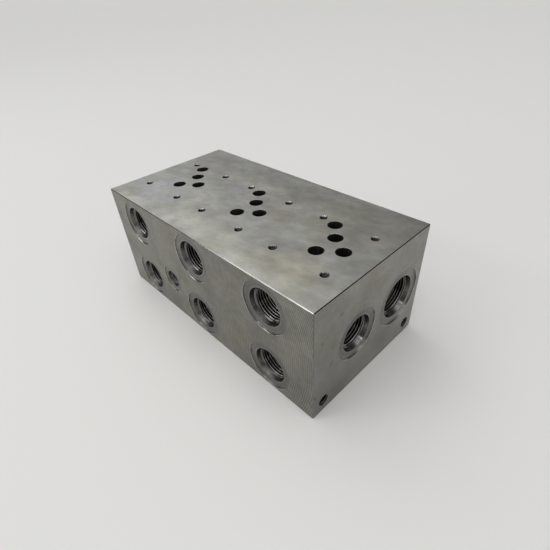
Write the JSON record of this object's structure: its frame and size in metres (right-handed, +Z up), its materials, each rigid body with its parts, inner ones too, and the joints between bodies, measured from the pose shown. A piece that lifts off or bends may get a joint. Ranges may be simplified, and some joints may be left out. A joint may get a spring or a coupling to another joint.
{
  "type": "hydraulic manifold block",
  "caption": "Rectangular steel bar manifold with valve stations on its ground top face, O-ring boss work ports on one side, pump and tank ports on one end, and cross-drilled passages.",
  "frame": {"origin": "centre of the bottom face, on the surface the block stands on", "axes": "+X along the bar towards the pump and tank ports, +Y away from the work port face, +Z up through the valve face"},
  "size_m": [0.2476, 0.127, 0.1016],
  "materials": {
    "steel": "milled and ground bare steel, satin, with faint oxide tint"
  },
  "bodies": {
    "root": {"manifold_block": "steel"}
  },
  "joints": []
}
